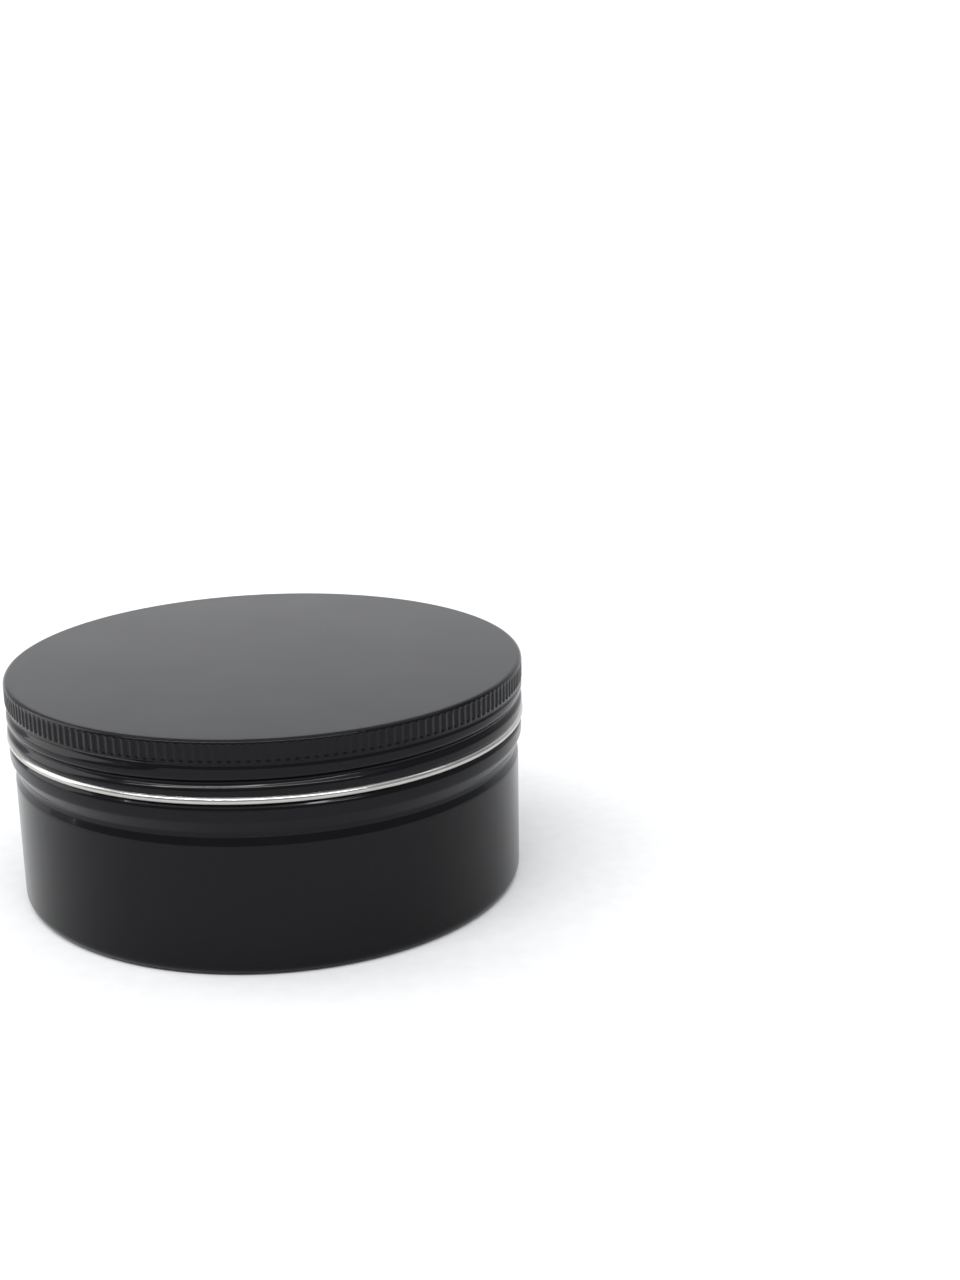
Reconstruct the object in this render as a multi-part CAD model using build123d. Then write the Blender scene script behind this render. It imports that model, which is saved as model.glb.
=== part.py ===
from build123d import *
import os
from math import pi, sqrt

# A shallow screw-top tin for candles, in millimetres.
# The origin is at the middle of the flat underside, and +Z points up.
# Three pieces: the drawn base can, the drawn screw lid, and the soft liner disc inside the lid.

# ---- Driving dimensions --------------------------------------------------------------------
body_radius = 45.0
closed_height = 40.5
sheet = 0.3

# ---- Base can ------------------------------------------------------------------------------
foot_radius = 1.7
foot_recess = 0.5
foot_ring_inner = body_radius - 5.0
foot_ring_slope = 1.0
waist_radius = body_radius - 0.5
waist_height = 24.3
bead_radius = body_radius + 0.65
bead_height = 28.2
neck_radius = body_radius - 0.4
neck_bottom = 30.8
rim_top = closed_height - 1.5
rim_curl_radius = 0.68
rim_curl_sweep = 280

# ---- Thread, the same helix on both pieces --------------------------------------------------
thread_pitch = 2.85
thread_height = 0.65
lid_thread_height = 0.55
thread_width = 1.7
lid_thread_width = 1.5
thread_closed_end = 0.5
base_thread_turns = 1.44
lid_thread_turns = 1.42
lid_thread_start_angle = 99.5
lid_thread_start_height = 31.95
base_thread_start_angle = 298.4
base_thread_start_height = 32.1

# ---- Lid -----------------------------------------------------------------------------------
lid_radius = body_radius + 0.75
knurl_radius = body_radius + 0.8
knurl_bottom = closed_height - 3.7
lid_corner_radius = 0.8
lid_waist_radius = lid_radius - 0.15
lid_waist_height = knurl_bottom - 0.4
hem_outer_radius = body_radius + 0.95
hem_width = 2 * sheet
hem_bottom = closed_height - 10.7
hem_height = 1.4
flute_count = 190
flute_length = 3.1
flute_width = 1.04
flute_depth = 0.15
flute_top_margin = 0.55

# ---- Liner ---------------------------------------------------------------------------------
liner_gap = 0.08
liner_radius = neck_radius + 0.3


def revolve_sheet(outer_skin, inward):
    """Thicken an outer skin line to the sheet, on its inward side, and turn it about Z."""
    profile = make_face(offset(outer_skin, amount=sheet, side=inward).edges())
    return revolve(Plane.XZ * profile, axis=Axis.Z)


def rolled_rim():
    """The sheet rolled inwards into an open tube, starting at the top of the neck."""
    centre = (neck_radius - rim_curl_radius, rim_top - rim_curl_radius)
    outer = CenterArc(centre, rim_curl_radius, 0, rim_curl_sweep)
    inner = CenterArc(centre, rim_curl_radius - sheet, 0, rim_curl_sweep)
    start = Line(outer @ 0, inner @ 0)
    tip = Line(outer @ 1, inner @ 1)
    profile = make_face([outer, inner, start, tip])
    return revolve(Plane.XZ * profile, axis=Axis.Z)


def thread_rib(root, crest, backing, width, start_angle, start_height, turns):
    """A rounded rib along the helix, width wide at the root. Backing buries its flat base."""
    rise = abs(crest - root)
    bow_radius = (width ** 2 / 4 + rise ** 2) / (2 * rise)
    backing_depth = abs(crest - backing)
    half_base = sqrt(2 * bow_radius * backing_depth - backing_depth ** 2)
    bow = ThreePointArc((backing, -half_base), (crest, 0), (backing, half_base))
    base = Line((backing, half_base), (backing, -half_base))
    section = Plane.XZ * make_face([bow, base])
    path = Helix(pitch=thread_pitch, height=thread_pitch * turns, radius=root)
    rib = sweep(section, path=path, is_frenet=True)
    return Pos(0, 0, start_height) * Rot(0, 0, start_angle) * rib


def pressed_thread(shell, root, rise, width, start_angle, start_height, turns):
    """Press the helix into the sheet: a rib on one face and the matching groove on the other.

    root is the face that the rib stands on, and rise is positive outwards. The groove stops a
    little short of the rib at both ends, so that the sheet stays closed there.
    """
    outward = 1 if rise > 0 else -1
    rib = thread_rib(root, root + rise, root - outward * sheet / 2, width,
                     start_angle, start_height, turns)
    short_turns = thread_closed_end / (2 * pi * root)
    groove_root = root - outward * sheet
    groove = thread_rib(groove_root, groove_root + rise, groove_root - outward * 0.15, width,
                        start_angle + 360 * short_turns,
                        start_height + thread_pitch * short_turns,
                        turns - 2 * short_turns)
    return shell + rib - groove


def make_base_can():
    """Drawn cup: recessed foot, straight wall, waist, stop bead, threaded neck, rolled rim."""
    wall = FilletPolyline(
        (0, foot_recess),
        (foot_ring_inner, foot_recess),
        (foot_ring_inner + foot_ring_slope, 0),
        (body_radius, 0),
        (body_radius, waist_height - 1.7),
        (waist_radius, waist_height - 0.4),
        (waist_radius, waist_height + 0.4),
        (bead_radius, bead_height - 1.3),
        (bead_radius, bead_height + 0.8),
        (neck_radius, neck_bottom - 0.5),
        (neck_radius, rim_top - rim_curl_radius),
        radius=[0.5, 0.6, foot_radius, 1.2, 0.8, 1.0, 1.2, 0.9, 0.7],
    )
    can = revolve_sheet(wall, Side.LEFT) + rolled_rim()
    return pressed_thread(can, neck_radius, thread_height, thread_width,
                          base_thread_start_angle, base_thread_start_height, base_thread_turns)


def grip_flutes():
    """Upright round-ended flutes round the top of the lid."""
    cutter_radius = (flute_width ** 2 / 4 + flute_depth ** 2) / (2 * flute_depth)
    cutter_place = knurl_radius - flute_depth + cutter_radius
    top = closed_height - flute_top_margin
    middle = top - flute_length / 2
    straight = flute_length - flute_width
    cutter = Cylinder(cutter_radius, straight)
    for end in (-1, 1):
        cutter += Pos(0, 0, end * straight / 2) * Sphere(cutter_radius)
    return PolarLocations(0, flute_count), Pos(cutter_place, 0, middle) * cutter


def make_screw_lid():
    """Drawn cap: flat top, fluted grip band, threaded skirt, edge folded back on the outside."""
    hem_inner_radius = hem_outer_radius - hem_width
    skirt = FilletPolyline(
        (0, closed_height),
        (knurl_radius, closed_height),
        (knurl_radius, knurl_bottom),
        (lid_waist_radius, lid_waist_height),
        (lid_radius, lid_waist_height - 0.6),
        (lid_radius, hem_bottom + hem_height + 0.3),
        (hem_inner_radius + sheet, hem_bottom + hem_height),
        (hem_inner_radius + sheet, hem_bottom + sheet),
        radius=[lid_corner_radius, 0.4, 0.4, 0.4, 0.4, 0.4],
    )
    cap = revolve_sheet(skirt, Side.RIGHT)
    hem_place = Pos(hem_inner_radius + sheet, hem_bottom + hem_height / 2)
    hem = hem_place * SlotOverall(hem_height, hem_width, rotation=90)
    cap += revolve(Plane.XZ * hem, axis=Axis.Z)
    cap = pressed_thread(cap, lid_radius - sheet, -lid_thread_height, lid_thread_width,
                         lid_thread_start_angle, lid_thread_start_height, lid_thread_turns)
    places, cutter = grip_flutes()
    return cap - [place * cutter for place in places]


def make_lid_liner():
    """Soft foam disc that seals the rim."""
    bottom = rim_top + liner_gap
    thickness = closed_height - sheet - liner_gap - bottom
    return Pos(0, 0, bottom + thickness / 2) * Cylinder(liner_radius, thickness)


nodes = {
    "base_can": make_base_can(),
    "screw_lid": make_screw_lid(),
    "lid_liner": make_lid_liner(),
}

os.makedirs("parts", exist_ok=True)
for name, shape in nodes.items():
    export_step(shape, "parts/" + name + ".step")
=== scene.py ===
# %% [markdown]
# # A screw-top candle tin
#
# The tin is two pieces of thin drawn aluminium, coated satin black, and a foam disc in the lid.
# This lesson builds the three pieces as turned sheet metal: an outline of a few corners is rounded
# and spun round the axis, and then its vertices are pressed into the thread and the grip flutes.
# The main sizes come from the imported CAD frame, so each piece lands where its solid is.

# %% Load the frame
import bmesh
import bpy
from math import atan2, ceil, cos, hypot, pi, radians, sin, tan
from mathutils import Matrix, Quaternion, Vector


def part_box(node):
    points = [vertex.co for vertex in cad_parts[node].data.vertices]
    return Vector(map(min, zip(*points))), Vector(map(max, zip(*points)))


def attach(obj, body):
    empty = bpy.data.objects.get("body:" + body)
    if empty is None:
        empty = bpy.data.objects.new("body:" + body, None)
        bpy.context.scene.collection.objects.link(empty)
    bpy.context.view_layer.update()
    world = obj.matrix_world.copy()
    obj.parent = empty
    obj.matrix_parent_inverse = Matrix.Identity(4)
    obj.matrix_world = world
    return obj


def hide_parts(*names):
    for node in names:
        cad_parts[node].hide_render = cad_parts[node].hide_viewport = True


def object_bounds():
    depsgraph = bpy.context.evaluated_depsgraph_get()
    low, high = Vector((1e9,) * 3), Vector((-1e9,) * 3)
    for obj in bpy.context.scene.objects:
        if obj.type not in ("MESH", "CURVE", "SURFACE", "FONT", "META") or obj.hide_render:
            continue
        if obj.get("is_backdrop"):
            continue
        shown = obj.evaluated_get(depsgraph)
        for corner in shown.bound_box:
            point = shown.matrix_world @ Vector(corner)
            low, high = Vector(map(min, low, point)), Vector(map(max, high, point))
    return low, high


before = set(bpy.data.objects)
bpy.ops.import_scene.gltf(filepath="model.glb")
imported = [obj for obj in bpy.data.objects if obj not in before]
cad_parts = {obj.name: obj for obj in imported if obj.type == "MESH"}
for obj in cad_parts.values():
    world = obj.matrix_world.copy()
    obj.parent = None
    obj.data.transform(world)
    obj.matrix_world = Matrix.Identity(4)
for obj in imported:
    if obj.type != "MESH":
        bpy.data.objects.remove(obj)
cad_low, cad_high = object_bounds()
print("CAD box", tuple(cad_low), tuple(cad_high))

# %% [markdown]
# ## Sizes
#
# Blender works in metres, and this object's details are tenths of a millimetre, so one value turns
# millimetres into metres. The outer sizes are read from the boxes of the CAD nodes. The small ones,
# such as the sheet's thickness and how far each bend stands out, are how such a tin is drawn.

# %% Sizes from the frame
MM = 0.001
can_low, can_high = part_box("base_can")
lid_low, lid_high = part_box("screw_lid")
liner_low, liner_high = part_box("lid_liner")

sheet = 0.3 * MM
thread_pitch = 2.85 * MM
hem_reach = 0.95 * MM
top = lid_high.z
rim_top = can_high.z
foot = can_low.z
hem_bottom = lid_low.z
hem_radius = lid_high.x
body_radius = hem_radius - hem_reach
bead_radius = body_radius + 0.65 * MM
neck_radius = body_radius - 0.4 * MM
print("body", body_radius / MM, "neck", neck_radius / MM, "rim top", rim_top / MM)

# %% [markdown]
# ## Outlines with rounded corners
#
# A drawn sheet has no sharp corner: every bend has a radius. An outline is written as its few
# corners, each with the radius of its bend. A vertex bevel turns a corner into an arc: it cuts the
# corner back along both edges, and for an arc of radius R that cut is R times the tangent of half the
# turn. A curve object with handles could do the same, but here each bend is one number. The bevel's
# arc is a true one at a right angle. It bulges a little more at a sharper turn, and a little less at
# a gentler one.


# %% A helper for outlines
def turn_at(before, corner, after):
    """The angle by which an outline turns at a corner."""
    arriving = corner.co - before.co
    leaving = after.co - corner.co
    return arriving.angle(leaving)


def outline(corners):
    """A wire in the XZ plane through corners of (radius, height, bend radius, segments)."""
    bm = bmesh.new()
    verts = [bm.verts.new((corner[0], 0, corner[1])) for corner in corners]
    for first, second in zip(verts, verts[1:]):
        bm.edges.new((first, second))
    bends = []
    for number in range(1, len(corners) - 1):
        turn = turn_at(verts[number - 1], verts[number], verts[number + 1])
        _, _, bend_radius, segments = corners[number]
        bends.append((verts[number], bend_radius * tan(turn / 2), segments))
    for vert, cut, segments in bends:
        if cut:
            bmesh.ops.bevel(bm, geom=[vert], offset=cut, offset_type="OFFSET", segments=segments,
                            profile=0.5, affect="VERTICES", material=-1)
    return bm


# %% [markdown]
# An outline then gets the rows of vertices that it needs. Where a thread or a flute is pressed later
# the rows have to be close, so the edges there are divided. Where a long flat face meets a tight
# bend, smooth shading would bleed across the whole face, so a row is added close to the bend.

# %% Helpers for rows
LONG_EDGE = 3.0 * MM
LEEWAY = 0.001 * MM


def close_rows(bm, low, high, spacing, inside=None, outside=None):
    """Divide the outline's edges between two heights, on one side of a radius if one is given."""
    for edge in bm.edges[:]:
        heights = [vert.co.z for vert in edge.verts]
        radius = sum(vert.co.x for vert in edge.verts) / 2
        if min(heights) < low - LEEWAY or max(heights) > high + LEEWAY:
            continue
        if (inside and radius > inside) or (outside and radius < outside):
            continue
        cuts = ceil(edge.calc_length() / spacing) - 1
        if cuts > 0:
            bmesh.ops.subdivide_edges(bm, edges=[edge], cuts=cuts)


def hold_flats(bm, margin):
    """Add a row close to each end of every long edge, so that the shading stays flat between."""
    for edge in bm.edges[:]:
        length = edge.calc_length()
        if length < LONG_EDGE:
            continue
        start, end = edge.verts
        _, middle = bmesh.utils.edge_split(edge, start, margin / length)
        rest = next(link for link in middle.link_edges if end in link.verts)
        bmesh.utils.edge_split(rest, end, margin / (length - margin))


# %% [markdown]
# ## Turning an outline round
#
# The grip flutes need more than a thousand columns of faces round the lid, and one spin of that many
# steps is slow. So the outline is spun through a single sector, and a second spin sets down copies of
# that sector all the way round. The seams between sectors are merged next, which closes the skin, and
# then the normals are turned outwards.

# %% A helper that turns an outline
SEAM = 0.0001 * MM


def turn_round(bm, sectors, columns):
    """Spin an outline round the Z axis into a closed skin: so many sectors of so many columns."""
    sector = 2 * pi / sectors
    bmesh.ops.spin(bm, geom=bm.verts[:] + bm.edges[:], cent=(0, 0, 0), axis=(0, 0, 1),
                   dvec=(0, 0, 0), angle=sector, steps=columns, use_merge=False,
                   use_duplicate=False)
    bmesh.ops.spin(bm, geom=bm.verts[:] + bm.edges[:] + bm.faces[:], cent=(0, 0, 0),
                   axis=(0, 0, 1), dvec=(0, 0, 0), angle=sector * (sectors - 1),
                   steps=sectors - 1, use_merge=False, use_duplicate=True)
    bmesh.ops.remove_doubles(bm, verts=bm.verts[:], dist=SEAM)
    bmesh.ops.recalc_face_normals(bm, faces=bm.faces[:])
    print(len(bm.verts), "vertices,", sum(not edge.is_manifold for edge in bm.edges), "open edges")


# %% [markdown]
# ## The thread
#
# A thread on drawn sheet is rolled in: it is the same wave on both faces of the wall. Modelled as a
# separate coil it would float on the surface, so the wall itself is pressed. For a point at some angle
# and height, the nearest wrap of the helix gives the distance from the thread's middle line, and a
# smooth hump of that distance gives how far the wall moves. A higher power of the cosine makes the
# hump narrower at its top and wider at its foot. The ends fade out over a twentieth of a turn or so.

# %% The press for a helical thread
THREAD_FADE = 0.045


def smooth_step(value):
    """0 below 0, 1 above 1, and a smooth ramp between."""
    clamped = max(0.0, min(1.0, value))
    return clamped * clamped * (3 - 2 * clamped)


def thread_hump(place, start_angle, start_height, turns, width, power):
    """How fully the thread is pressed at a place, from 0 to 1."""
    first = ((atan2(place.y, place.x) - start_angle) / (2 * pi)) % 1.0
    wrap = round((place.z - start_height) / thread_pitch - first)
    along = first + wrap
    off = place.z - start_height - thread_pitch * along
    if abs(off) > width / 2:
        return 0.0
    begun = smooth_step(along / THREAD_FADE + 0.5)
    not_over = smooth_step((turns - along) / THREAD_FADE + 0.5)
    return begun * not_over * cos(pi * off / width) ** power


def press_radially(vert, amount):
    """Move a vertex straight out from the Z axis, or in if the amount is negative."""
    radius = hypot(vert.co.x, vert.co.y)
    if radius > 0:
        vert.co.x *= 1 + amount / radius
        vert.co.y *= 1 + amount / radius


# %% [markdown]
# ## Shader maths
#
# A finish is easier to read as a sum than as a web of nodes. A small class wraps one output socket,
# and its operators add Math nodes, so noise * 0.2 + 0.3 means what it says. Every other kind of node
# comes from one method of the finish, which sets the node's own settings first and its inputs next.


# %% Values and finishes
class Value:
    """A number or a colour that varies over a surface. Arithmetic on a number adds Math nodes."""

    def __init__(self, finish, socket):
        self.finish = finish
        self.socket = socket

    def math(self, operation, first, second):
        return self.finish.node("ShaderNodeMath", {"operation": operation}, {0: first, 1: second})

    def __add__(self, other):
        return self.math("ADD", self, other)

    def __sub__(self, other):
        return self.math("SUBTRACT", self, other)

    def __rsub__(self, other):
        return self.math("SUBTRACT", other, self)

    def __mul__(self, other):
        return self.math("MULTIPLY", self, other)

    def __pow__(self, other):
        return self.math("POWER", self, other)

    __radd__ = __add__
    __rmul__ = __mul__


class Finish:
    """A material with one Principled shader. The constants are set on the shader's own sockets."""

    def __init__(self, name, constants):
        self.material = bpy.data.materials.new(name)
        self.material.use_nodes = True
        self.shader = self.material.node_tree.nodes["Principled BSDF"]
        for socket, value in constants.items():
            self.shader.inputs[socket].default_value = value

    def node(self, kind, settings, inputs, output=0):
        """Add a node: its own settings, then its inputs. The stops are those of a colour ramp."""
        made = self.material.node_tree.nodes.new(kind)
        for name, setting in settings.items():
            if name == "stops":
                for stop, (position, colour) in zip(made.color_ramp.elements, setting):
                    stop.position = position
                    stop.color = (*colour, 1)
            else:
                setattr(made, name, setting)
        for socket, value in inputs.items():
            self.link(made.inputs[socket], value)
        return Value(self, made.outputs[output])

    def link(self, socket, value):
        """Set a socket to a number, or join it to a value that varies."""
        if isinstance(value, Value):
            self.material.node_tree.links.new(value.socket, socket)
        else:
            socket.default_value = value

    def feed(self, socket, value):
        """Join a value to one of the shader's sockets."""
        self.link(self.shader.inputs[socket], value)

    def place(self):
        """Where a point is on the object, in metres."""
        return self.node("ShaderNodeTexCoord", {}, {}, "Object")

    def ring_place(self):
        """A place that is the same all round a turned piece: only its radius and height count."""
        separate = self.node("ShaderNodeSeparateXYZ", {}, {0: self.place()}).socket.node
        x, y, z = [Value(self, output) for output in separate.outputs]
        radius = (x * x + y * y) ** 0.5
        return self.node("ShaderNodeCombineXYZ", {}, {0: radius, 1: 0.0, 2: z})

    def noise(self, place, grain, detail):
        """A noise from 0 to 1 whose blobs are about grain metres across."""
        return self.node("ShaderNodeTexNoise", {},
                         {"Vector": place, "Scale": 1 / grain, "Detail": detail})

    def tint(self, amount, dark, light):
        """A colour that goes from one stop to another. A stop is (amount, colour)."""
        return self.node("ShaderNodeValToRGB", {"stops": (dark, light)}, {"Fac": amount})

    def bump(self, height, distance, strength):
        """A bump whose full height is that many metres."""
        return self.node("ShaderNodeBump", {},
                         {"Height": height, "Distance": distance, "Strength": strength})


# %% [markdown]
# ## Satin black coating
#
# The coating is sprayed and baked on the sheet. It is nearly black, with a thin clear gloss over it.
# A low refractive index keeps the black itself from shining when it is seen face on, and the gloss
# brightens where it is seen at a slant, as the top of the lid is. A very fine grain breaks the gloss,
# and handling leaves faint duller clouds. All of that is roughness, gloss and bump: the colour itself
# hardly changes.


# %% The coating's finish
def satin_black(name):
    finish = Finish(name, {"IOR": 1.16, "Coat Roughness": 0.055, "Coat IOR": 1.5})
    place = finish.place()
    grain = finish.noise(place, grain=0.22 * MM, detail=3.0)
    clouds = finish.noise(place, grain=14 * MM, detail=3.0)
    tint = finish.tint(clouds, dark=(0.35, (0.0014, 0.0015, 0.0024)),
                       light=(0.65, (0.0024, 0.0024, 0.0034)))
    finish.feed("Base Color", tint)
    finish.feed("Roughness", 0.16 + clouds * 0.05 + grain * 0.06)
    finish.feed("Coat Weight", 0.25 - clouds * 0.07)
    finish.feed("Normal", finish.bump(grain, distance=0.005 * MM, strength=0.5))
    return finish.material


coating = satin_black("satin_black_coating")
print("made", coating.name)

# %% [markdown]
# ## Bare aluminium
#
# The rolled rim and the folded edge are bare metal. Rolling polishes them along the edge, so the fine
# lines run round the tin. A noise read at the radius and the height alone makes such lines, because
# it is the same at every angle. A slower noise breaks them up a little round the tin.


# %% The bare metal's finish
def bare_aluminium(name):
    finish = Finish(name, {"Metallic": 1.0})
    lines = finish.noise(finish.ring_place(), grain=0.05 * MM, detail=2.0)
    stains = finish.noise(finish.place(), grain=5 * MM, detail=2.0)
    tint = finish.tint(lines * 0.4 + stains * 0.6, dark=(0.3, (0.43, 0.42, 0.40)),
                       light=(0.75, (0.53, 0.52, 0.50)))
    finish.feed("Base Color", tint)
    finish.feed("Roughness", 0.15 + lines * 0.04 + stains * 0.05)
    finish.feed("Normal", finish.bump(lines, distance=0.001 * MM, strength=0.3))
    return finish.material


bare_metal = bare_aluminium("bare_aluminium")
print("made", bare_metal.name)

# %% [markdown]
# ## Inner lacquer
#
# The inside has a thin dark lacquer, flatter than the outside, with the fine rings that drawing the
# cup leaves in the sheet.


# %% The lacquer's finish
def inner_lacquer(name):
    finish = Finish(name, {"IOR": 1.5})
    rings = finish.noise(finish.ring_place(), grain=0.4 * MM, detail=2.0)
    clouds = finish.noise(finish.place(), grain=9 * MM, detail=3.0)
    tint = finish.tint(clouds, dark=(0.35, (0.008, 0.008, 0.007)),
                       light=(0.65, (0.013, 0.013, 0.011)))
    finish.feed("Base Color", tint)
    finish.feed("Roughness", 0.38 + clouds * 0.08 + rings * 0.06)
    finish.feed("Normal", finish.bump(rings, distance=0.01 * MM, strength=0.35))
    return finish.material


lacquer = inner_lacquer("dark_inner_lacquer")
print("made", lacquer.name)

# %% [markdown]
# ## Liner foam
#
# The liner is closed-cell foam with a thin skin: dull, off-white, and finely pitted. The pits are
# cells of a Voronoi pattern, pressed in by the bump.


# %% The foam's finish
def liner_foam(name):
    finish = Finish(name, {"IOR": 1.45, "Subsurface Weight": 0.15, "Subsurface Scale": 0.4 * MM})
    place = finish.place()
    cells = finish.node("ShaderNodeTexVoronoi", {}, {"Vector": place, "Scale": 1 / (0.35 * MM)})
    clouds = finish.noise(place, grain=6 * MM, detail=3.0)
    tint = finish.tint(clouds, dark=(0.3, (0.74, 0.73, 0.69)), light=(0.7, (0.84, 0.83, 0.80)))
    finish.feed("Base Color", tint)
    finish.feed("Roughness", 0.62 + cells * 0.25)
    finish.feed("Normal", finish.bump(cells, distance=0.03 * MM, strength=0.6))
    return finish.material


foam = liner_foam("white_liner_foam")
print("made", foam.name)

# %% [markdown]
# ## Handing a piece over
#
# A finished bmesh becomes an object at the origin, smooth shaded, with its place in its mesh. Its
# materials go in slots, and each face already says which slot it wears. The can and the lid wear the
# same three finishes in the same order.

# %% A helper that makes the object
COATED, BARE, INNER = range(3)
SHELL_FINISHES = [coating, bare_metal, lacquer]


def make_piece(name, bm, materials):
    """Turn a bmesh into an object of the scene, and free the bmesh."""
    mesh = bpy.data.meshes.new(name)
    bm.to_mesh(mesh)
    bm.free()
    for material in materials:
        mesh.materials.append(material)
    mesh.shade_smooth()
    piece = bpy.data.objects.new(name, mesh)
    bpy.context.scene.collection.objects.link(piece)
    triangles = sum(len(polygon.vertices) - 2 for polygon in mesh.polygons)
    print(name, triangles, "triangles, size in mm", [round(side / MM, 2) for side in piece.dimensions])
    return piece


# %% [markdown]
# ## The base can
#
# The can is drawn from one disc. From the middle of the underside its outer skin runs out over the
# foot ring, up the wall, in at a shallow waist and out over the bead that the lid stops against. Then
# comes the threaded neck, and the rim is rolled inwards into a tube. The skin is spun first, the
# thread is pressed into it, and only then does it get the sheet's thickness, so that the inner wall
# follows the thread as it does on the real can.

# %% The can's outer skin
foot_recess = 0.5 * MM
foot_ring_inner = body_radius - 5.0 * MM
foot_ring_slope = 1.0 * MM
waist_height = 24.3 * MM
waist_radius = body_radius - 0.5 * MM
bead_height = 28.2 * MM
neck_bottom = 30.8 * MM
rim_curl_radius = 0.68 * MM
rim_curl_start = rim_top - rim_curl_radius
rim_curl_sweep = radians(280)

can = outline([
    (0, foot_recess, 0, 1),
    (foot_ring_inner, foot_recess, 0.5 * MM, 3),
    (foot_ring_inner + foot_ring_slope, foot, 0.6 * MM, 3),
    (body_radius, foot, 1.7 * MM, 7),
    (body_radius, waist_height - 1.7 * MM, 1.2 * MM, 3),
    (waist_radius, waist_height - 0.4 * MM, 0.8 * MM, 3),
    (waist_radius, waist_height + 0.4 * MM, 1.0 * MM, 4),
    (bead_radius, bead_height - 1.3 * MM, 1.2 * MM, 4),
    (bead_radius, bead_height + 0.8 * MM, 0.9 * MM, 5),
    (neck_radius, neck_bottom - 0.5 * MM, 0.7 * MM, 3),
    (neck_radius, rim_curl_start, 0, 1),
])
hold_flats(can, margin=0.4 * MM)
close_rows(can, neck_bottom - 0.4 * MM, rim_curl_start, spacing=0.25 * MM)
rim_start = max(can.verts, key=lambda vert: vert.co.z)
bmesh.ops.spin(can, geom=[rim_start], cent=(neck_radius - rim_curl_radius, 0, rim_curl_start),
               axis=(0, 1, 0), dvec=(0, 0, 0), angle=-rim_curl_sweep, steps=14, use_merge=False,
               use_duplicate=False)
print("outline of the can:", len(can.verts), "points")

# %% [markdown]
# The thread is pressed outwards where the neck is straight. The whole curl of the rim is bare metal,
# and so is the part of it that turns down inside. The inner wall, which solidify adds, is lacquered
# up to the curl.

# %% Spin it, press the thread, give it thickness
can_thread = {"start_angle": radians(298.4), "start_height": 32.1 * MM, "turns": 1.38,
              "width": 2.5 * MM, "power": 2}
can_thread_rise = 0.65 * MM
bare_above = rim_curl_start - 0.02 * MM
curl_bottom = rim_top - 2 * rim_curl_radius
neck_inside = neck_radius - sheet

turn_round(can, sectors=24, columns=20)
for vert in can.verts:
    if neck_bottom < vert.co.z < rim_curl_start and vert.co.xy.length > neck_inside:
        press_radially(vert, can_thread_rise * thread_hump(vert.co, **can_thread))

for face in can.faces:
    middle = face.calc_center_median()
    in_curl = middle.z > curl_bottom and middle.xy.length < neck_inside
    face.material_index = BARE if middle.z > bare_above or in_curl else COATED

outer_faces = set(can.faces)
bmesh.ops.solidify(can, geom=can.faces[:], thickness=sheet)
for face in can.faces:
    if face not in outer_faces and face.calc_center_median().z < bare_above:
        face.material_index = INNER

base_can = make_piece("drawn_can", can, SHELL_FINISHES)
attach(base_can, "base")
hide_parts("base_can")

# %% [markdown]
# ## The screw lid
#
# The lid is a second drawn cup, upside down. Its outer skin has a flat top, a band of upright grip
# flutes, a threaded skirt, and a hem, which is the edge folded back on the outside. The flutes are
# finer than the thread, so the outside has six columns of faces to a flute. The inner wall needs no
# flutes, so this piece is one closed outline of both walls: a solidified copy would double the flutes
# for nothing. The hem's curl is one more bevelled corner: it stands where the straight lines that
# touch the two ends of the curl would meet.

# %% The lid's outline
lid_radius = body_radius + 0.75 * MM
grip_radius = body_radius + 0.8 * MM
grip_bottom = top - 3.7 * MM
lid_waist_height = grip_bottom - 0.4 * MM
lid_waist_radius = lid_radius - 0.3 * MM
skirt_top = lid_waist_height - 0.6 * MM
hem_height = 1.4 * MM
hem_inner = hem_radius - 2 * sheet
hem_top = hem_bottom + hem_height
inner_radius = lid_radius - sheet
inner_top = top - sheet
curl_radius = 0.72 * MM
curl_middle = (hem_radius - curl_radius - 0.06 * MM, hem_bottom + 0.62 * MM)
curl_top = radians(62)
curl_end = radians(-50)


def on_curl(angle, reach=1):
    """A place at an angle above the horizontal on the hem's curl, or reach times as far out."""
    return (curl_middle[0] + reach * curl_radius * cos(angle),
            curl_middle[1] + reach * curl_radius * sin(angle))


curl_corner = on_curl((curl_top + curl_end) / 2, reach=1 / cos((curl_top - curl_end) / 2))

lid = outline([
    (0, top, 0, 1),
    (grip_radius, top, 0.8 * MM, 6),
    (grip_radius, grip_bottom, 0.4 * MM, 2),
    (lid_waist_radius, lid_waist_height, 0.4 * MM, 2),
    (lid_radius, skirt_top, 0.4 * MM, 2),
    (lid_radius, hem_top + 0.35 * MM, 0.3 * MM, 2),
    (*on_curl(curl_top), 0, 1),
    (*curl_corner, 0.98 * curl_radius, 9),
    (*on_curl(curl_end), 0, 1),
    (hem_inner, hem_bottom, 0.2 * MM, 3),
    (hem_inner, hem_top, 0.3 * MM, 1),
    (inner_radius, hem_top + 0.3 * MM, 0.3 * MM, 1),
    (inner_radius, skirt_top, 0.4 * MM, 1),
    (lid_waist_radius - sheet, lid_waist_height, 0.4 * MM, 2),
    (grip_radius - sheet, grip_bottom, 0.4 * MM, 1),
    (grip_radius - sheet, inner_top, 0.5 * MM, 3),
    (0, inner_top, 0, 1),
])
print("outline of the lid:", len(lid.verts), "points")

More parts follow.
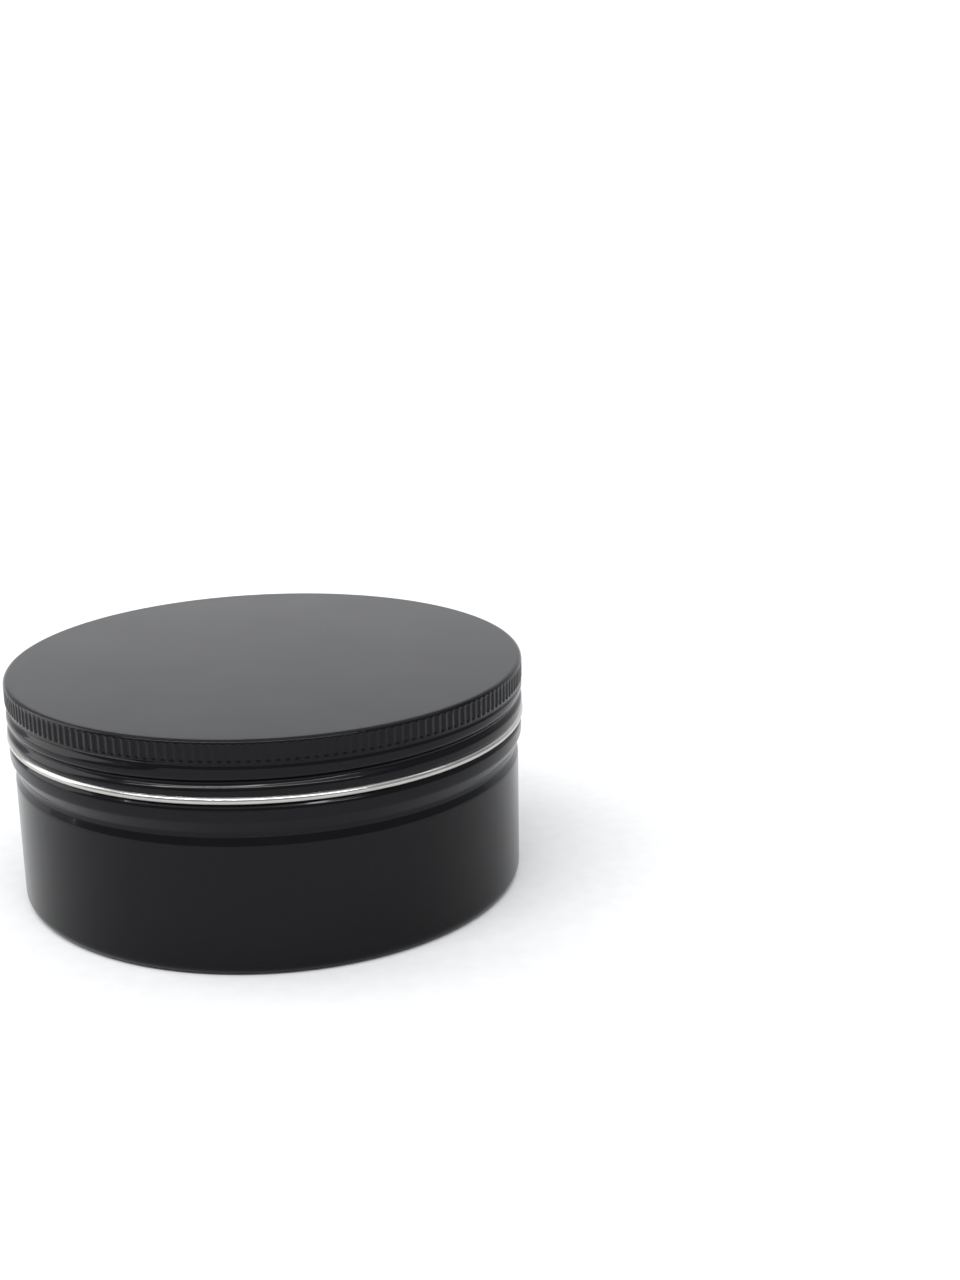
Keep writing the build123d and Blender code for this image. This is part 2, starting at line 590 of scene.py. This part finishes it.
# %% Rows for the thread and the flutes
skirt_bottom = hem_top + 0.3 * MM
thread_top = lid_waist_height + 0.1 * MM
close_rows(lid, skirt_bottom, thread_top, spacing=0.24 * MM, outside=lid_radius - 0.2 * MM)
close_rows(lid, grip_bottom, top - 0.7 * MM, spacing=0.25 * MM, outside=grip_radius - 0.1 * MM)
close_rows(lid, skirt_bottom, thread_top, spacing=0.75 * MM, inside=inner_radius + 0.01 * MM)
hold_flats(lid, margin=0.3 * MM)
print("with rows:", len(lid.verts), "points")

# %% [markdown]
# The grip flutes are upright dents with round ends. Their outline is a stadium: every point within
# half a width of a short upright line. The distance to that line says how deep a vertex goes, with a
# soft shoulder so that the land between two flutes catches a thin line of light. The lid's thread is
# pressed inwards, towards the thread of the can, and it fades out before the grip band and the hem.

# %% Depths of the flutes and of the lid's thread
FLUTE_COUNT = 190
COLUMNS_PER_FLUTE = 6
LID_SECTORS = 38
flute_length = 3.1 * MM
flute_half_width = 0.50 * MM
flute_depth = 0.20 * MM
flute_lip = 0.10 * MM
flute_shoulder = 0.30 * MM
flute_top = top - 0.55 * MM
flute_bottom = flute_top - flute_length
flute_spacing = 2 * pi * grip_radius / FLUTE_COUNT
lid_thread_helix = {"start_angle": radians(99.5), "start_height": 31.95 * MM, "turns": 1.42,
                    "width": thread_pitch, "power": 4}
lid_thread_depth = 0.68 * MM
lid_thread_fade = 0.5 * MM


def flute_dent(place):
    """How deep a place on the grip band is in its flute, from 0 to 1."""
    period = atan2(place.y, place.x) * FLUTE_COUNT / (2 * pi)
    across = (period - round(period)) * flute_spacing
    straight = flute_length / 2 - flute_half_width
    along = max(0.0, abs(place.z - (flute_top + flute_bottom) / 2) - straight)
    edge = hypot(across, along) - flute_half_width
    return smooth_step((flute_lip - edge) / flute_shoulder)


def lid_thread(place):
    """How fully the lid's thread is pressed at a place. It stays off the grip band and the hem."""
    hump = thread_hump(place, **lid_thread_helix)
    below_grip = smooth_step((grip_bottom - 0.05 * MM - place.z) / lid_thread_fade)
    above_hem = smooth_step((place.z - hem_top - 0.25 * MM) / lid_thread_fade)
    return hump * below_grip * above_hem


print("a flute every", round(flute_spacing / MM, 2), "mm")

# %% Spin the lid and press it
turn_round(lid, sectors=LID_SECTORS, columns=COLUMNS_PER_FLUTE * FLUTE_COUNT // LID_SECTORS)
for vert in lid.verts:
    if vert.co.xy.length > grip_radius - sheet / 2 and flute_bottom < vert.co.z < flute_top:
        press_radially(vert, -flute_depth * flute_dent(vert.co))
    elif vert.co.xy.length > inner_radius - 0.05 * MM:
        press_radially(vert, -lid_thread_depth * lid_thread(vert.co))

for face in lid.faces:
    middle = face.calc_center_median()
    faces_axis = face.normal.dot(Vector((middle.x, middle.y, 0))) < 0
    faces_down = face.normal.z < -0.9
    if middle.z < hem_top - 0.01 * MM and middle.xy.length > hem_inner + 0.02 * MM:
        face.material_index = BARE
    elif faces_axis or faces_down:
        face.material_index = INNER

screw_lid = make_piece("drawn_lid", lid, SHELL_FINISHES)
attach(screw_lid, "lid")
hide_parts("screw_lid")

# %% [markdown]
# ## The liner
#
# The liner is a foam disc that just fits inside the lid. Each time the tin is closed the rolled rim
# presses a shallow ring into it, and the ring stays. It is a short outline like the others.

# %% The liner disc
liner_radius = liner_high.x
ring_middle = neck_radius - rim_curl_radius
ring_depth = 0.2 * MM

liner = outline([
    (0, liner_low.z, 0, 1),
    (ring_middle - 0.75 * MM, liner_low.z, 0.6 * MM, 4),
    (ring_middle, liner_low.z + ring_depth, 0.8 * MM, 4),
    (ring_middle + 0.6 * MM, liner_low.z, 0.25 * MM, 3),
    (liner_radius, liner_low.z, 0.2 * MM, 3),
    (liner_radius, liner_high.z, 0.25 * MM, 4),
    (0, liner_high.z, 0, 1),
])
hold_flats(liner, margin=0.3 * MM)
turn_round(liner, sectors=16, columns=16)

lid_liner = make_piece("foam_liner", liner, [foam])
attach(lid_liner, "liner")
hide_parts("lid_liner")

# %% [markdown]
# ## Floor and light
#
# The floor is pale and runs up behind the tin in one smooth sweep, so no horizon line crosses the
# picture. A glossy black piece shows its surroundings more than its own colour: the bright sweep
# behind the tin gives the top of the lid its grey.

# %% The floor, in metres
floor_front = -1.4
floor_back = 1.1
floor_top = 1.6
floor_bend = 0.5
floor_half_width = 1.8

sweep = bmesh.new()
corners = [(0, floor_front, 0), (0, floor_back, 0), (0, floor_back, floor_top)]
verts = [sweep.verts.new(corner) for corner in corners]
for first, second in zip(verts, verts[1:]):
    sweep.edges.new((first, second))
bmesh.ops.bevel(sweep, geom=[verts[1]], offset=floor_bend, offset_type="OFFSET", segments=16,
                profile=0.5, affect="VERTICES", material=-1)
across = bmesh.ops.extrude_edge_only(sweep, edges=sweep.edges[:])
moved = [item for item in across["geom"] if isinstance(item, bmesh.types.BMVert)]
bmesh.ops.translate(sweep, verts=sweep.verts[:], vec=(-floor_half_width, 0, 0))
bmesh.ops.translate(sweep, verts=moved, vec=(2 * floor_half_width, 0, 0))
bmesh.ops.recalc_face_normals(sweep, faces=sweep.faces[:])

pale = Finish("pale_floor", {"Specular IOR Level": 0.1, "Roughness": 0.8})
paper = pale.noise(pale.place(), grain=3 * MM, detail=3.0)
paper_tint = pale.tint(paper, dark=(0.3, (0.80, 0.80, 0.80)), light=(0.7, (0.83, 0.83, 0.83)))
pale.feed("Base Color", paper_tint)
floor = make_piece("floor", sweep, [pale.material])
floor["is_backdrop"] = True


# %% [markdown]
# A wide panel overhead gives the soft main light. A long narrow strip in front of the tin and above
# it draws the thin bright lines on the thread and on the curls, a panel on the left lights that side
# of the wall, and the last one lights the sweep behind. The world is an even pale grey, so the tin
# has something to reflect from every side.


# %% The lights
def soft_light(name, place, target, size, watts):
    """A rectangular area light of (width, height) at a place, turned to a target."""
    lamp = bpy.data.lights.new(name, "AREA")
    lamp.shape = "RECTANGLE"
    lamp.size, lamp.size_y = size
    lamp.energy = watts
    light = bpy.data.objects.new(name, lamp)
    light.location = place
    light.rotation_euler = (Vector(target) - Vector(place)).to_track_quat("-Z", "Y").to_euler()
    bpy.context.scene.collection.objects.link(light)
    print(name, watts, "W")


tin_middle = (0, 0, 0.03)
sweep_middle = (0.1, floor_back, 0.45)
soft_light("overhead", (0.0, -0.05, 1.2), (0, -0.05, 0), size=(2.0, 1.9), watts=6)
soft_light("strip", (-0.1, -0.62, 0.95), tin_middle, size=(2.0, 0.06), watts=11)
soft_light("left", (-1.0, 0.2, 0.5), tin_middle, size=(0.7, 0.9), watts=5)
soft_light("backdrop", (0.1, 0.25, 1.05), sweep_middle, size=(2.0, 0.3), watts=5)

world = bpy.data.worlds.new("studio")
world.use_nodes = True
background = world.node_tree.nodes["Background"]
background.inputs["Color"].default_value = (0.93, 0.95, 1.0, 1)
background.inputs["Strength"].default_value = 0.5
bpy.context.scene.world = world

# %% [markdown]
# ## Camera
#
# The camera stands low in front of the tin and a little to its right, as a person holding a camera
# would, and it looks down at about sixteen degrees with a hint of a roll. The tin stands in the left
# half of the picture.

# %% The camera, in metres and radians
camera_place = (0.03841, -0.30159, 0.12955)
camera_pitch = 0.2798
camera_roll = -0.0165

camera_data = bpy.data.cameras.new("camera")
camera_data.lens = 49.35
camera_data.sensor_width = 36
camera = bpy.data.objects.new("camera", camera_data)
camera.location = camera_place
camera.rotation_mode = "QUATERNION"
look = Vector((0, cos(camera_pitch), -sin(camera_pitch)))
level = look.to_track_quat("-Z", "Y")
camera.rotation_quaternion = level @ Quaternion((0, 0, 1), camera_roll)
bpy.context.scene.collection.objects.link(camera)
bpy.context.scene.camera = camera
bpy.context.scene.view_settings.view_transform = "Standard"

# %% [markdown]
# ## The two boxes
#
# The sizes of both boxes, that of the CAD nodes and that of the visual pieces, are printed in
# millimetres. The visual pieces have to stay inside the CAD model's box.

# %% Sizes of both boxes
visual_low, visual_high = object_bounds()
boxes = {
    "cad": [list(cad_low), list(cad_high)],
    "visual": [list(visual_low), list(visual_high)],
}
for name, (low, high) in boxes.items():
    print(name, [round((b - a) / MM, 3) for a, b in zip(low, high)], "mm")
